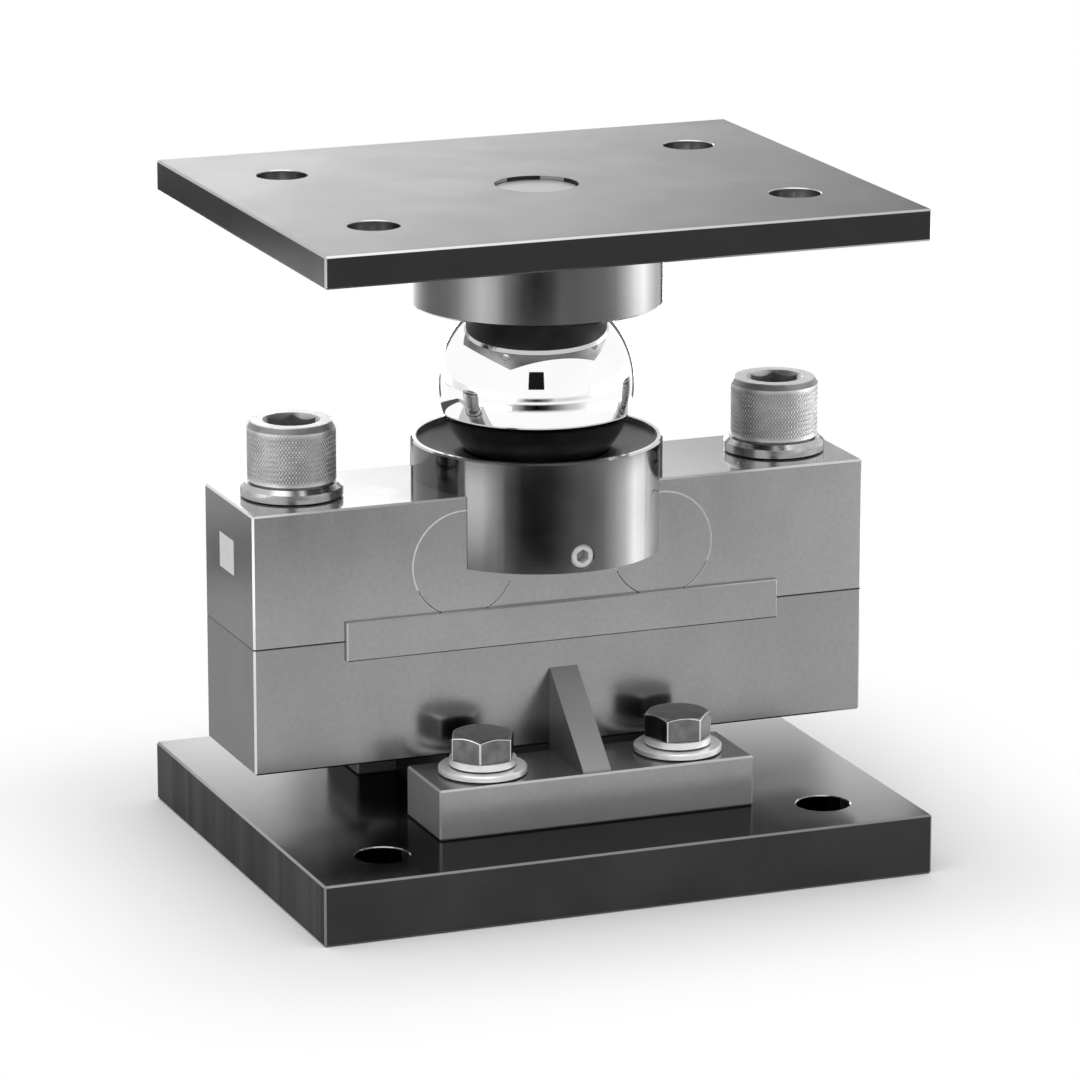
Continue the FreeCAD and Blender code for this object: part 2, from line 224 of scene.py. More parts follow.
# Both kinds of fastener: bevel at the shank's end, and the small ring that closes a stack of rings
shank_bevel = 1.0 * mm
closing_radius = 0.5 * mm
hex_corners = 6
hex_sector = 2 * math.pi / hex_corners

# Cap screws, with the wear and painted highlight at shares of the way up the head's bevel
screw_head_radius = 18.0 * mm
screw_head_bevel = 1.5 * mm
screw_head_bevel_height = 2.5 * mm
screw_rim_out = 0.15 * mm
screw_rim_in = 0.1 * mm
screw_rim_drop = 0.2 * mm
screw_bevel_marks = ((0.06, wear_and_highlight_bevel), (0.9, wear_and_highlight_bevel), (1.0, wear_and_highlight_full))
screw_neck_height = 0.7 * mm
screw_neck_depth = 1.2 * mm
screw_neck_flare = 0.2 * mm
screw_socket_flat = 9.5 * mm
screw_socket_depth = 14.0 * mm
screw_socket_point = 2.0 * mm
screw_socket_lead = 0.6 * mm
screw_socket_edge = 0.1 * mm
screw_socket_turn = math.radians(21.5)
screw_shank_radius = 12.0 * mm
screw_sharp = math.radians(30.0)
knurl_grooves = 84
knurl_steps = 5
knurl_rows = 64
knurl_depth = 0.3 * mm
knurl_margin = 0.9 * mm
knurl_lean = math.radians(33.0)

# Hex bolts, with their turns in degrees. The foot, wear and highlight, edge, crown and top values place the
# head's rings:
# how far in from its outline, and how far above the seat or from the bevelled edge or the top.
bolt_flat = 12.0 * mm
bolt_head_height = 10.0 * mm
bolt_bevel = math.radians(30.0)
bolt_round = 0.45 * mm
bolt_corner = math.radians(2.2)
bolt_corner_steps = 3
bolt_side_steps = 14
bolt_ridge = math.radians(1.6)
bolt_foot_in = 0.4 * mm
bolt_foot_rise = 0.3 * mm
bolt_wear_highlight_start = 0.45 * mm
bolt_wear_highlight_low = 0.3 * mm
bolt_edge_in = 0.08 * mm
bolt_edge_drop = 0.06 * mm
bolt_wear_highlight_in = 0.35 * mm
bolt_wear_highlight_rise = 0.1 * mm
bolt_crown_in = 0.36 * mm
bolt_crown_gap = 0.1 * mm
bolt_crown_drop = 0.05 * mm
bolt_top_in = 0.9 * mm
bolt_shank_radius = 8.0 * mm
bolt_sharp = math.radians(35.0)
bolt_turns = ((25.0, 40.5), (8.0, 51.0))
spring_washer_radius = 13.5 * mm


# Node helpers

def put(tree, socket, value):
    if isinstance(value, bpy.types.NodeSocket):
        tree.links.new(value, socket)
    else:
        socket.default_value = value


def add(tree, kind, inputs=None, **settings):
    node = tree.nodes.new(kind)
    for name, value in settings.items():
        setattr(node, name, value)
    for name, value in (inputs or {}).items():
        put(tree, node.inputs[name], value)
    return node


def feed(tree, shader, **sockets):
    for socket, value in sockets.items():
        put(tree, shader.inputs[socket.replace("_", " ")], value)


def new_material(name, **sockets):
    material = bpy.data.materials.new(name)
    material.use_nodes = True
    tree = material.node_tree
    shader = tree.nodes["Principled BSDF"]
    feed(tree, shader, **sockets)
    return material, tree, shader


def place(tree, stretch=(1.0, 1.0, 1.0)):
    # Position on the part in millimetres
    here = add(tree, "ShaderNodeTexCoord").outputs["Object"]
    scale = [part / mm for part in stretch]
    return add(tree, "ShaderNodeMapping", {"Vector": here, "Scale": scale}).outputs["Vector"]


def place_parts(tree):
    return add(tree, "ShaderNodeSeparateXYZ", {"Vector": place(tree)}).outputs


def noise(tree, scale, detail, stretch=(1.0, 1.0, 1.0), rough=0.5):
    inputs = {"Vector": place(tree, stretch), "Scale": scale, "Detail": detail, "Roughness": rough}
    return add(tree, "ShaderNodeTexNoise", inputs).outputs["Fac"]


def math_node(tree, operation, first, second=0.0, clamp=False):
    node = add(tree, "ShaderNodeMath", {0: first, 1: second}, operation=operation, use_clamp=clamp)
    return node.outputs[0]


def spread(tree, value, low, high, start=0.25, end=0.75):
    # Maps the range from start to end, which suits noise, smoothly to the range from low to high
    inputs = {"Value": value, "From Min": start, "From Max": end, "To Min": low, "To Max": high}
    node = add(tree, "ShaderNodeMapRange", inputs, interpolation_type="SMOOTHSTEP")
    return node.outputs["Result"]


def vary(tree, value, middle, swing):
    return spread(tree, value, middle * (1.0 - swing), middle * (1.0 + swing))


def blend_value(tree, mask, low, high):
    # The node's sockets by number: the factor and two values, and the first output is the blended value
    return add(tree, "ShaderNodeMix", {0: mask, 2: low, 3: high}, data_type="FLOAT").outputs[0]


def blend_colour(tree, mask, first, second):
    # The node's sockets by number: the factor and two colours, and the third output is the blended colour
    return add(tree, "ShaderNodeMix", {0: mask, 6: first, 7: second}, data_type="RGBA").outputs[2]


def grey(tree, value):
    inputs = {"Red": value, "Green": value, "Blue": value}
    return add(tree, "ShaderNodeCombineColor", inputs).outputs["Color"]


def bump(tree, height, distance):
    return add(tree, "ShaderNodeBump", {"Height": height, "Distance": distance}).outputs["Normal"]


# Masks

def normal_parts(tree):
    normal = add(tree, "ShaderNodeNewGeometry").outputs["True Normal"]
    size = add(tree, "ShaderNodeVectorMath", {0: normal}, operation="ABSOLUTE").outputs["Vector"]
    return add(tree, "ShaderNodeSeparateXYZ", {"Vector": size}).outputs


def facing(tree, sign, least):
    # Faces that look up, with a sign of 1, or down, with -1
    normal = add(tree, "ShaderNodeNewGeometry").outputs["True Normal"]
    z = add(tree, "ShaderNodeSeparateXYZ", {"Vector": normal}).outputs["Z"]
    return math_node(tree, "GREATER_THAN", math_node(tree, "MULTIPLY", z, sign), least)


def slanted(tree):
    # Chamfers and other faces that are square to no axis
    x, y, z = normal_parts(tree)
    largest = math_node(tree, "MAXIMUM", math_node(tree, "MAXIMUM", x, y), z)
    return math_node(tree, "LESS_THAN", largest, square_share)


def within(tree, across, spacing, shift, radius):
    # Inside a circle at that spacing along X and that shift across, or in its mirrored places
    here = place_parts(tree)
    x = math_node(tree, "SUBTRACT", math_node(tree, "ABSOLUTE", here["X"]), spacing)
    y = math_node(tree, "SUBTRACT", math_node(tree, "ABSOLUTE", here[across]), shift)
    square = math_node(tree, "ADD", math_node(tree, "MULTIPLY", x, x), math_node(tree, "MULTIPLY", y, y))
    return math_node(tree, "LESS_THAN", square, radius ** 2)


def turned_rings(tree, scale, detail):
    # Fine rings round the upright axis, as a lathe leaves them
    here = place_parts(tree)
    flat = add(tree, "ShaderNodeCombineXYZ", {"X": here["X"], "Y": here["Y"]}).outputs["Vector"]
    reach = add(tree, "ShaderNodeVectorMath", {0: flat}, operation="LENGTH").outputs["Value"]
    along = math_node(tree, "ADD", reach, here["Z"])
    inputs = {"W": along, "Scale": scale, "Detail": detail}
    return add(tree, "ShaderNodeTexNoise", inputs, noise_dimensions="1D").outputs["Fac"]


# Materials

def oxide_plate(
    name, ior, top_rough, top_tone, side_tone, side_rough, edge_tone, hole_tone, hole_spacing, hole_reach
):
    material, tree, shader = new_material(name, IOR=ior)
    normal = normal_parts(tree)
    upright = math_node(tree, "LESS_THAN", normal["Z"], lean_share)
    end = math_node(tree, "GREATER_THAN", normal["X"], square_share)
    hole = within(tree, "Y", hole_spacing[0] / 2, hole_spacing[1] / 2, hole_reach)
    hole_wall = math_node(tree, "MULTIPLY", hole, upright)
    under = facing(tree, -1.0, square_share)
    bare = math_node(tree, "MAXIMUM", math_node(tree, "MAXIMUM", slanted(tree), hole), under)
    streaks = noise(tree, scale=0.07, detail=4.0, stretch=(0.02, 1.0, 0.02), rough=0.6)
    cloud = noise(tree, scale=0.03, detail=3.0)
    grain = noise(tree, scale=0.35, detail=3.0, stretch=(0.2, 1.0, 1.0))
    top_shade = vary(tree, cloud, top_tone, swing=0.15)
    tone = blend_value(tree, upright, top_shade, vary(tree, cloud, side_tone, swing=0.15))
    tone = blend_value(tree, end, tone, spread(tree, streaks, streak_share * side_tone, side_tone))
    tone = blend_value(tree, bare, tone, edge_tone)
    tone = blend_value(tree, under, tone, spread(tree, cloud, *under_tones))
    tone = blend_value(tree, hole_wall, tone, hole_tone)
    rough = vary(tree, cloud, top_rough, swing=0.06)
    rough = blend_value(tree, end, rough, spread(tree, streaks, side_rough + streak_rough, side_rough))
    feed(tree, shader, Base_Color=grey(tree, tone), Metallic=bare, Roughness=rough)
    feed(tree, shader, Normal=bump(tree, grain, distance=0.0007 * mm))
    return material


def satin_steel(name, tones, metals, top_rough, seam_reach=0.0, bore=(0.0, 0.0, 0.0)):
    # Tones and metal shares are those of the face, the ends, the top and the edges. The ends', top's and
    # edges' own tones are painted light and shade for how light falls on those faces, the edges' pale tone
    # being a painted highlight; edges that face down keep the face's tone.
    tone, end_tone, top_tone, edge_tone = tones
    metal, end_metal, top_metal, edge_metal = metals
    material, tree, shader = new_material(name, Specular_IOR_Level=satin_gloss)
    normal = normal_parts(tree)
    end = math_node(tree, "GREATER_THAN", normal["X"], square_share)
    top = math_node(tree, "GREATER_THAN", normal["Z"], square_share)
    edge = math_node(tree, "SUBTRACT", slanted(tree), facing(tree, -1.0, lean_share), clamp=True)
    above = math_node(tree, "SUBTRACT", place_parts(tree)["Z"], parting_level)
    seam = math_node(tree, "LESS_THAN", math_node(tree, "ABSOLUTE", above), seam_reach)
    inside = within(tree, "Z", *bore)
    cloud = noise(tree, scale=0.025, detail=4.0)
    speck = noise(tree, scale=0.5, detail=4.0)
    smudge = noise(tree, scale=0.06, detail=3.0, stretch=(1.0, 1.0, 0.4))
    shade = vary(tree, cloud, tone, swing=0.05)
    # Painted light and shade: the ends and the top get their own tones
    shade = blend_value(tree, end, shade, vary(tree, cloud, end_tone, swing=0.05))
    shade = math_node(tree, "MULTIPLY", shade, vary(tree, speck, 1.0, swing=0.04))
    shade = blend_value(tree, top, shade, vary(tree, cloud, top_tone, swing=0.05))
    # Painted highlight: the chamfered edges get a pale tone
    shade = blend_value(tree, edge, shade, edge_tone)
    shade = blend_value(tree, seam, shade, parting_tone)
    # Painted highlight: a pale, matte ring where the cover bores meet the face
    shade = blend_value(tree, inside, shade, bore_highlight_tone)
    rough = spread(tree, smudge, *satin_roughs)
    rough = blend_value(tree, top, rough, vary(tree, smudge, top_rough, swing=0.2))
    metallic = blend_value(tree, end, metal, end_metal)
    metallic = blend_value(tree, top, metallic, top_metal)
    metallic = blend_value(tree, edge, metallic, edge_metal)
    metallic = blend_value(tree, inside, metallic, 0.0)
    feed(tree, shader, Base_Color=grey(tree, shade), Metallic=metallic, Roughness=rough)
    feed(tree, shader, Normal=bump(tree, speck, distance=0.003 * mm))
    return material


def turned_steel(name, tone, rough, seat_side, seat_reach, spigot_tone):
    material, tree, shader = new_material(name, Metallic=1.0)
    rings = turned_rings(tree, scale=2.2, detail=3.0)
    cloud = noise(tree, scale=0.04, detail=4.0)
    inside = within(tree, "Y", 0.0, 0.0, seat_reach)
    outside = math_node(tree, "SUBTRACT", 1.0, inside)
    level = math_node(tree, "GREATER_THAN", normal_parts(tree)["Z"], lean_share)
    middle = within(tree, "Y", 0.0, 0.0, spigot_reach)
    seat = math_node(tree, "MULTIPLY", inside, facing(tree, seat_side, seat_share))
    rim = math_node(tree, "MULTIPLY", outside, level)
    spigot = math_node(tree, "MULTIPLY", middle, facing(tree, 1.0, square_share))
    shade = vary(tree, cloud, tone, swing=0.08)
    shade = blend_value(tree, spigot, shade, vary(tree, rings, spigot_tone, swing=0.2))
    # Painted highlight: the level rims get a pale tone
    shade = blend_value(tree, rim, shade, rim_highlight_tone)
    # Painted shade: the dished seats are near black
    shade = blend_value(tree, seat, shade, spread(tree, cloud, *seat_shade_tones))
    dull = math_node(tree, "MAXIMUM", seat, spigot)
    roughness = blend_value(tree, dull, vary(tree, cloud, rough, swing=0.2), dull_rough)
    feed(tree, shader, Base_Color=grey(tree, shade), Roughness=roughness)
    feed(tree, shader, Normal=bump(tree, rings, distance=0.0025 * mm))
    return material


def mirror_ball(name):
    material, tree, shader = new_material(name, Metallic=1.0)
    smear = noise(tree, scale=0.05, detail=4.0)
    hair = noise(tree, scale=0.8, detail=6.0, stretch=(1.0, 0.15, 0.4))
    feed(tree, shader, Base_Color=grey(tree, spread(tree, smear, low=0.94, high=0.98)))
    feed(tree, shader, Roughness=spread(tree, hair, low=0.02, high=0.05))
    return material


def plated(name, metal, tones, roughs, shade_top=-1.0):
    # Below the given height a dark line of painted shade is drawn where the washer sits on its seat, and the
    # whole part lies above the default
    material, tree, shader = new_material(name, Metallic=metal)
    line = math_node(tree, "LESS_THAN", place_parts(tree)["Z"], shade_top)
    cloud = noise(tree, scale=0.12, detail=5.0)
    speck = noise(tree, scale=2.2, detail=4.0)
    # Painted shade: the washer's foot takes the dark tone
    tone = blend_value(tree, line, spread(tree, cloud, *tones), washer_shade_tone)
    feed(tree, shader, Base_Color=grey(tree, tone), Roughness=spread(tree, cloud, *reversed(roughs)))
    feed(tree, shader, Normal=bump(tree, speck, distance=0.004 * mm))
    return material


def worn_highlit_steel(name, metal, tones, worn_highlight_tone, roughs):
    material, tree, shader = new_material(name, Metallic=metal)
    wear_and_highlight = add(tree, "ShaderNodeAttribute", attribute_name="wear_and_highlight").outputs["Fac"]
    cloud = noise(tree, scale=0.15, detail=5.0)
    speck = noise(tree, scale=1.8, detail=4.0)
    # Partly real wear, partly painted highlight: a pale tone where the mesh marks edges and knurl crests
    tone = blend_value(tree, wear_and_highlight, spread(tree, cloud, *tones), worn_highlight_tone)
    tone = math_node(tree, "MULTIPLY", tone, vary(tree, cloud, 1.0, swing=0.1))
    feed(tree, shader, Base_Color=grey(tree, tone), Roughness=spread(tree, cloud, *roughs))
    feed(tree, shader, Normal=bump(tree, speck, distance=0.006 * mm))
    return material


def coated(name, first, second, roughs, grain_scale, grain_height):
    material, tree, shader = new_material(name)
    cloud = noise(tree, scale=0.2, detail=4.0)
    speck = noise(tree, grain_scale, detail=4.0)
    colour = blend_colour(tree, spread(tree, cloud, 0.0, 1.0), first, second)
    feed(tree, shader, Base_Color=colour, Roughness=spread(tree, speck, *roughs))
    feed(tree, shader, Normal=bump(tree, speck, grain_height))
    return material


# Object and mesh helpers

def add_object(name, data):
    piece = bpy.data.objects.new(name, data)
    bpy.context.scene.collection.objects.link(piece)
    return piece


def even_ring(count, radius, level, mark):
    return [(radius, level)] * count, [mark] * count


def ring_stack(rings, angles, centre):
    # Each ring is its radius and level at every angle, and its share of wear and painted highlight there
    points = []
    wear_and_highlight = []
    for profile, marks in rings:
        for angle, (radius, level) in zip(angles, profile):
            points.append(centre + Vector((radius * math.sin(angle), -radius * math.cos(angle), level)))
        wear_and_highlight += marks
    count = len(angles)
    faces = []
    for i in range(len(rings) - 1):
        for j in range(count):
            k = (j + 1) % count
            faces.append((i * count + j, i * count + k, (i + 1) * count + k, (i + 1) * count + j))
    last = (len(rings) - 1) * count
    faces.append(tuple(reversed(range(count))))
    faces.append(tuple(range(last, last + count)))
    return points, faces, wear_and_highlight


def make_piece(name, stacks, material, node, sharp):
    points = []
    faces = []
    wear_and_highlight = []
    for stack_points, stack_faces, stack_wear_and_highlight in stacks:
        start = len(points)
        points += stack_points
        faces += [tuple(start + index for index in face) for face in stack_faces]
        wear_and_highlight += stack_wear_and_highlight
    mesh = bpy.data.meshes.new(name)
    mesh.from_pydata(points, [], faces)
    mesh.polygons.foreach_set("use_smooth", [True] * len(mesh.polygons))
    mesh.set_sharp_from_angle(angle=sharp)
    mesh.attributes.new("wear_and_highlight", "FLOAT", "POINT").data.foreach_set("value", wear_and_highlight)
    mesh.materials.append(material)
    piece = add_object(name, mesh)
    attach(piece, "root")
    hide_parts(node)


# Cap screws with knurled heads

def knurl(angle, level, height):
    around = angle * knurl_grooves / (2 * math.pi)
    rise = level * math.tan(knurl_lean) * knurl_grooves / (2 * math.pi * screw_head_radius)
    first = abs((around + rise) % 1.0 - 0.5) * 2
    second = abs((around - rise) % 1.0 - 0.5) * 2
    fade = min(level, height - level) / (2 * knurl_margin)
    return (1.0 - min(first, second)) * max(0.0, min(1.0, fade))


def socket_radius(angle):
    swing = (angle + screw_socket_turn) % hex_sector
    return screw_socket_flat / math.cos(swing - hex_sector / 2)


def cap_screw(centre, bottom, top, seat):
    count = knurl_grooves * knurl_steps
    angles = [2 * math.pi * j / count for j in range(count)]
    neck = screw_head_radius - screw_neck_depth
    base = seat + screw_neck_height + screw_neck_flare
    height = top - screw_head_bevel_height - base
    rings = [
        even_ring(count, screw_shank_radius - shank_bevel, bottom, wear_and_highlight_shank),
        even_ring(count, screw_shank_radius, bottom + shank_bevel, wear_and_highlight_shank),
        even_ring(count, screw_shank_radius, seat, wear_and_highlight_shank),
        even_ring(count, neck, seat, wear_and_highlight_none),
        even_ring(count, neck, seat + screw_neck_height, wear_and_highlight_none),
    ]
    for row in range(knurl_rows + 1):
        level = height * row / knurl_rows
        cuts = [knurl(angle, level, height) for angle in angles]
        profile = [(screw_head_radius - knurl_depth * cut, base + level) for cut in cuts]
        rings.append((profile, [1.0 - cut for cut in cuts]))
    bevel_low = base + height
    bevel_rise = top - screw_rim_drop - bevel_low
    bevel_in = screw_head_bevel - screw_rim_out
    for share, mark in screw_bevel_marks:
        radius = screw_head_radius - bevel_in * share
        rings.append(even_ring(count, radius, bevel_low + bevel_rise * share, mark))
    mouth = screw_socket_flat / math.cos(hex_sector / 2) + screw_socket_lead
    floor_level = top - screw_socket_depth
    hexes = [socket_radius(angle) for angle in angles]
    rings += [
        even_ring(count, screw_head_radius - screw_head_bevel - screw_rim_in, top, wear_and_highlight_full),
        even_ring(count, mouth + screw_socket_edge, top, wear_and_highlight_full),
        ([(radius, top - (mouth - radius)) for radius in hexes], [wear_and_highlight_socket] * count),
        ([(radius, floor_level) for radius in hexes], [wear_and_highlight_none] * count),
        even_ring(count, closing_radius, floor_level - screw_socket_point, wear_and_highlight_none),
    ]
    return ring_stack(rings, angles, centre)


def cap_screws():
    low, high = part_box("cap_screws")
    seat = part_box("cap_screw_washers")[1].z
    reach = high.x - screw_head_radius
    stacks = [cap_screw(Vector((x, 0, 0)), low.z, high.z, seat) for x in (-reach, reach)]
    material = worn_highlit_steel(
        "knurled_zinc", metal=0.65, tones=(0.18, 0.24), worn_highlight_tone=0.6, roughs=(0.3, 0.42)
    )
    make_piece("knurled_cap_screws", stacks, material, "cap_screws", screw_sharp)


# Hex bolts with worn edges

def corner_swing(angle):
    return abs((angle + hex_sector / 2) % hex_sector - hex_sector / 2)


def bolt_angles():
    side = hex_sector - 2 * bolt_corner
    corner_steps = range(-bolt_corner_steps, bolt_corner_steps + 1)
    side_steps = range(1, bolt_side_steps)
    angles = []
    for corner in range(hex_corners):
        middle = corner * hex_sector
        angles += [middle + bolt_corner * step / bolt_corner_steps for step in corner_steps]
        angles += [middle + bolt_corner + side * step / bolt_side_steps for step in side_steps]
    return angles


def bolt_outline(angle):
    swing = corner_swing(angle)
    straight = bolt_flat / math.cos(hex_sector / 2 - swing)
    centre = (bolt_flat - bolt_round) / math.cos(hex_sector / 2)
    inside = bolt_round ** 2 - (centre * math.sin(swing)) ** 2
    if inside <= 0:
        return straight
    return min(straight, centre * math.cos(swing) + math.sqrt(inside))


def hex_bolt(centre, bottom, seat, turn):
    local = bolt_angles()
    angles = [angle - math.radians(turn) for angle in local]
    count = len(angles)
    top = seat + bolt_head_height
    outline = [bolt_outline(angle) for angle in local]
    edge = [top - max(0.0, radius - bolt_flat) * math.tan(bolt_bevel) for radius in outline]
    rim = list(zip(outline, edge))
    crown = [min(radius - bolt_crown_in, bolt_flat - bolt_crown_gap) for radius in outline]
    ridge = [wear_and_highlight_full if corner_swing(angle) < bolt_ridge else wear_and_highlight_none for angle in local]
    none = [wear_and_highlight_none] * count
    full = [wear_and_highlight_full] * count
    rings = [
        even_ring(count, bolt_shank_radius - shank_bevel, bottom, wear_and_highlight_none),
        even_ring(count, bolt_shank_radius, bottom + shank_bevel, wear_and_highlight_none),
        even_ring(count, bolt_shank_radius, seat, wear_and_highlight_none),
        even_ring(count, bolt_flat - bolt_foot_in, seat, wear_and_highlight_none),
        ([(radius, seat + bolt_foot_rise) for radius in outline], ridge),
        ([(radius, level - bolt_wear_highlight_start) for radius, level in rim], ridge),
        ([(radius, level - bolt_wear_highlight_low) for radius, level in rim], full),
        ([(radius - bolt_edge_in, level - bolt_edge_drop) for radius, level in rim], full),
        ([(radius - bolt_wear_highlight_in, min(top, level + bolt_wear_highlight_rise)) for radius, level in rim], full),
        ([(radius, top - bolt_crown_drop) for radius in crown], none),
        even_ring(count, bolt_flat - bolt_top_in, top, wear_and_highlight_none),
        even_ring(count, closing_radius, top, wear_and_highlight_none),
    ]
    return ring_stack(rings, angles, centre)


def foot_bolts():
    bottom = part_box("foot_bolts")[0].z
    washer_low, washer_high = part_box("foot_spring_washers")
    reach_x = (washer_high.x - washer_low.x) / 2 - spring_washer_radius
    reach_y = (washer_high.y - washer_low.y) / 2 - spring_washer_radius
    stacks = []
    for sign_y, turns in zip((-1, 1), bolt_turns):
        for sign_x, turn in zip((-1, 1), turns):
            centre = Vector((sign_x * reach_x, sign_y * reach_y, 0))
            stacks.append(hex_bolt(centre, bottom, washer_high.z, turn))
    material = worn_highlit_steel(
        "worn_highlit_bolt_steel", metal=1.0, tones=(0.12, 0.19), worn_highlight_tone=0.6, roughs=(0.16, 0.26)
    )
    make_piece("worn_highlit_foot_bolts", stacks, material, "foot_bolts", bolt_sharp)


# Finishes of the solid model's own pieces

def dress(material, *names):
    for name in names:
        frame["nodes"][name].material_slots[0].material = material


def halves(ending):
    return [half + ending for half in ("front_", "rear_")]


def quarters(ending):
    return [half + side + ending for half in ("front_", "rear_") for side in ("left_", "right_")]


def dress_plates():
    base = oxide_plate(
        "base_oxide", ior=1.15, top_rough=0.14, top_tone=0.004, side_tone=0.042, side_rough=0.36,
        edge_tone=0.22, hole_tone=0.10, hole_spacing=(191.0, 153.0), hole_reach=11.45,
    )
    dress(base, "base_plate")
    # Painted light: the top plate's hole walls get a paler tone standing in for light coming up through the
    # holes
    top = oxide_plate(
        "top_oxide", ior=1.35, top_rough=0.25, top_tone=0.014, side_tone=0.016, side_rough=0.2,
        edge_tone=0.42, hole_tone=0.32, hole_spacing=(179.0, 110.0), hole_reach=10.95,
    )
    dress(top, "top_plate")


def dress_satin():
    low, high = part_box("front_right_cavity_cover")
    middle = (low + high) / (2 * mm)
    bore = (middle.x, middle.z, (high.x - low.x) / (2 * mm) + bore_margin)
    beam_metals = (1.0, 0.35, 0.85, 0.35)
    beam = satin_steel(
        "satin_beam", tones=(0.345, 0.14, 0.6, 0.72), metals=beam_metals, top_rough=0.09,
        seam_reach=parting_reach, bore=bore,
    )
    dress(beam, "beam_body")
    block = satin_steel(
        "satin_block", tones=(0.295, 0.115, 0.6, 0.72), metals=beam_metals, top_rough=0.09,
        seam_reach=parting_reach,
    )
    dress(block, "support_block")
    for name, tones, metals, nodes in (
        ("satin_foot", (0.37, 0.29, 0.2, 0.5), (0.4, 0.4, 0.6, 0.4), ["front_foot_bar"]),
        ("satin_strip", (0.325, 0.4, 0.36, 0.5), (1.0, 0.35, 1.0, 0.3), halves("gap_cover")),
        ("satin_cover", (0.345, 0.17, 0.36, 0.85), (1.0, 1.0, 1.0, 0.0), quarters("cavity_cover")),
        ("satin_gusset", (0.31, 0.14, 0.31, 0.31), (0.35, 0.35, 0.35, 0.35), halves("gusset")),
        # Painted shade: the rear foot bar has darker tones than the front one, for the shade under the block
        ("painted_shade_rear_foot", (0.3, 0.13, 0.2, 0.3), (0.4, 0.3, 0.6, 0.3), ["rear_foot_bar"]),
        # Painted shade: the pedestal under the block is near black
        ("painted_shade_pedestal", (0.03, 0.02, 0.03, 0.05), (0.0, 0.0, 0.0, 0.0), ["pedestal"]),
    ):
        dress(satin_steel(name, tones, metals, top_rough=0.22), *nodes)


def dress_turned():
    saddle = turned_steel(
        "polished_cup", tone=0.13, rough=0.1, seat_side=1.0, seat_reach=49.3, spigot_tone=0.13
    )
    dress(saddle, "saddle_cup")
    upper = turned_steel(
        "turned_cup", tone=0.13, rough=0.12, seat_side=-1.0, seat_reach=46.0, spigot_tone=0.4
    )
    dress(upper, "upper_cup")
    dress(mirror_ball("mirror_ball"), "ball")


def dress_small():
    for name, metal, tones, roughs in (
        ("foot_flat_washers", 0.5, (0.82, 0.9), (0.29, 0.38)),
        ("foot_spring_washers", 0.5, (0.82, 0.9), (0.29, 0.38)),
        ("cap_screw_washers", 1.0, (0.42, 0.52), (0.19, 0.26)),
    ):
        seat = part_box(name)[0].z / mm
        dress(plated("zinc_" + name, metal, tones, roughs, seat + washer_shade_height), name)
    zinc = coated(
        "pale_zinc", (0.55, 0.55, 0.55, 1), (0.65, 0.65, 0.65, 1), roughs=(0.3, 0.45),
        grain_scale=3.0, grain_height=fine_grain,
    )
    dress(zinc, "cup_set_screws")
    foil = coated(
        "foil", (0.6, 0.6, 0.6, 1), (0.66, 0.66, 0.66, 1), roughs=(0.35, 0.5),
        grain_scale=3.0, grain_height=fine_grain,
    )
    dress(foil, "end_label")
    amber = coated(
        "amber_film", (0.62, 0.36, 0.10, 1), (0.72, 0.46, 0.16, 1), roughs=(0.3, 0.45),
        grain_scale=4.0, grain_height=fine_grain,
    )
    dress(amber, *quarters("strain_gauge"))
    laminate = coated(
        "green_laminate", (0.04, 0.20, 0.09, 1), (0.06, 0.26, 0.12, 1), roughs=(0.3, 0.4),
        grain_scale=4.0, grain_height=fine_grain,
    )
    dress(laminate, "terminal_board")
    nickel = plated("nickel_brass", metal=1.0, tones=(0.60, 0.68), roughs=(0.19, 0.26))
    dress(nickel, "gland_body", "gland_nut")
    rubber = coated(
        "black_rubber", (0.012, 0.012, 0.012, 1), (0.02, 0.02, 0.02, 1), roughs=(0.55, 0.75),
        grain_scale=3.0, grain_height=0.01 * mm,
    )
    dress(rubber, "gland_seal")


# Stage, light and camera

def seen_directly(tree):
    path = add(tree, "ShaderNodeLightPath").outputs
    seen = math_node(tree, "MAXIMUM", path["Is Camera Ray"], path["Is Glossy Ray"])
    return math_node(tree, "MAXIMUM", seen, path["Is Transmission Ray"])


def floor():
    # Away from the part the floor shows as the studio's white, and near it the shadow shows
    half = floor_size / 2
    mesh = bpy.data.meshes.new("floor")
    corners = [(-half, -half, 0), (half, -half, 0), (half, half, 0), (-half, half, 0)]
    mesh.from_pydata(corners, [], [(0, 1, 2, 3)])
    material, tree, shader = new_material(
        "pale_floor", Base_Color=floor_colour, Roughness=floor_rough, Specular_IOR_Level=floor_gloss
    )
    here = add(tree, "ShaderNodeTexCoord").outputs["Object"]
    away = add(tree, "ShaderNodeVectorMath", {0: here}, operation="ABSOLUTE").outputs["Vector"]
    away = add(tree, "ShaderNodeVectorMath", {0: away, 1: cad_high}, operation="SUBTRACT").outputs["Vector"]
    away = add(tree, "ShaderNodeVectorMath", {0: away}, operation="MAXIMUM").outputs["Vector"]
    reach = add(tree, "ShaderNodeVectorMath", {0: away}, operation="LENGTH").outputs["Value"]
    far = spread(tree, reach, 0.0, 1.0, floor_shade_near, floor_shade_far)
    share = math_node(tree, "MULTIPLY", far, seen_directly(tree))
    glow = add(tree, "ShaderNodeEmission", {"Strength": white_level}).outputs["Emission"]
    mix = add(tree, "ShaderNodeMixShader", {0: share, 1: shader.outputs["BSDF"], 2: glow})
    tree.links.new(mix.outputs["Shader"], tree.nodes["Material Output"].inputs["Surface"])
    mesh.materials.append(material)
    piece = add_object("floor", mesh)
    piece.location.z = -floor_drop


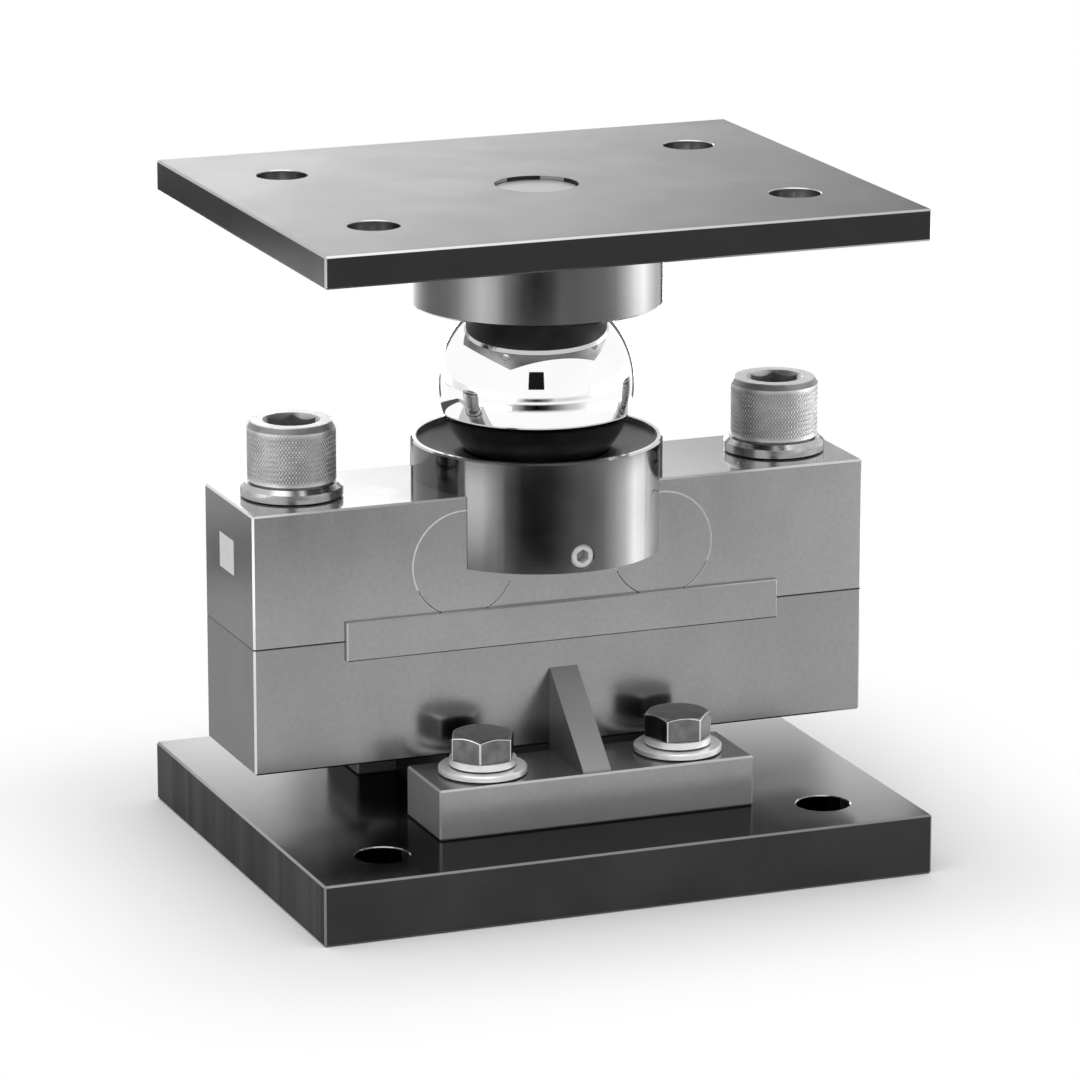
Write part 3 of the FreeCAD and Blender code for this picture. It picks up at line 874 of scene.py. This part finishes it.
def card(name, points, faces, glow):
    mesh = bpy.data.meshes.new(name)
    mesh.from_pydata(points, [], faces)
    mesh.attributes.new("glow", "FLOAT", "POINT").data.foreach_set("value", glow)
    material, tree, shader = new_material(
        name, Base_Color=black, Roughness=1.0, Specular_IOR_Level=0.0, Emission_Color=white
    )
    level = add(tree, "ShaderNodeAttribute", attribute_name="glow").outputs["Fac"]
    feed(tree, shader, Emission_Strength=level)
    mesh.materials.append(material)
    piece = add_object(name, mesh)
    for kind in ("camera", "diffuse", "shadow", "transmission", "volume_scatter"):
        setattr(piece, "visible_" + kind, False)


def fan_card(name, stops, rings):
    points = []
    glow = []
    for turn, tone in stops:
        angle = view_turn + math.radians(turn)
        for radius, level, share in rings:
            points.append((radius * math.sin(angle), -radius * math.cos(angle), level))
            glow.append(1.0 + (tone - 1.0) * share)
    count = len(rings)
    faces = []
    for i in range(len(stops) - 1):
        for j in range(count - 1):
            start = i * count + j
            faces.append((start, start + count, start + count + 1, start + 1))
    card(name, points, faces, glow)


def grid_card(name, centre, columns, rows, tones):
    side = Vector((math.cos(view_turn), math.sin(view_turn), 0))
    points = [centre + side * column + Vector((0, 0, row)) for row in rows for column in columns]
    glow = [tone for line in tones for tone in line]
    width = len(columns)
    faces = []
    for i in range(len(rows) - 1):
        for j in range(width - 1):
            start = i * width + j
            faces.append((start, start + 1, start + width + 1, start + width))
    card(name, points, faces, glow)


def back_tone(column, left, right, middle):
    share = min(1.0, max(0.0, 0.5 + column / back_blend_width))
    tone = left + (right - left) * share
    inside = back_middle[0] < column < back_middle[1]
    return tone * middle if inside else tone


def softbox():
    lamp = bpy.data.lights.new("top_softbox", "AREA")
    lamp.shape = "SQUARE"
    lamp.size = lamp_size
    lamp.energy = lamp_radiance * math.pi * lamp_size ** 2
    light = add_object("top_softbox", lamp)
    light.location = lamp_place
    light.rotation_euler = (lamp_place - lamp_target).to_track_quat("Z", "Y").to_euler()
    light.visible_camera = False


def world():
    scene = bpy.context.scene
    scene.world = bpy.data.worlds.new("studio")
    scene.world.use_nodes = True
    tree = scene.world.node_tree
    background = tree.nodes["Background"]
    background.inputs["Color"].default_value = white
    level = blend_value(tree, seen_directly(tree), world_level, white_level)
    tree.links.new(level, background.inputs["Strength"])


def camera():
    scene = bpy.context.scene
    lens = bpy.data.cameras.new("camera")
    lens.lens = view_lens
    lens.sensor_width = sensor_width
    lens.clip_end = view_end
    eye = add_object("camera", lens)
    flat = math.cos(view_rise)
    away = Vector((math.sin(view_turn) * flat, -math.cos(view_turn) * flat, math.sin(view_rise)))
    eye.location = view_target + away * view_distance
    eye.rotation_euler = away.to_track_quat("Z", "Y").to_euler()
    scene.camera = eye
    scene.view_settings.view_transform = "Standard"


def stage():
    floor()
    behind = Vector((-math.sin(view_turn), math.cos(view_turn), 0))
    dark = [[camera_card_tone] * len(camera_card_columns)] * len(camera_card_rows)
    grid_card("camera_card", behind * -camera_card_distance, camera_card_columns, camera_card_rows, dark)
    heights = [row[0] for row in back_rows]
    tones = [[back_tone(column, *row[1:]) for column in back_columns] for row in back_rows]
    grid_card("back_card", behind * back_card_distance, back_columns, heights, tones)
    for name, stops, rings in fan_cards:
        fan_card(name, stops, rings)
    softbox()
    world()
    camera()


dress_plates()
dress_satin()
dress_turned()
dress_small()
cap_screws()
foot_bolts()
stage()
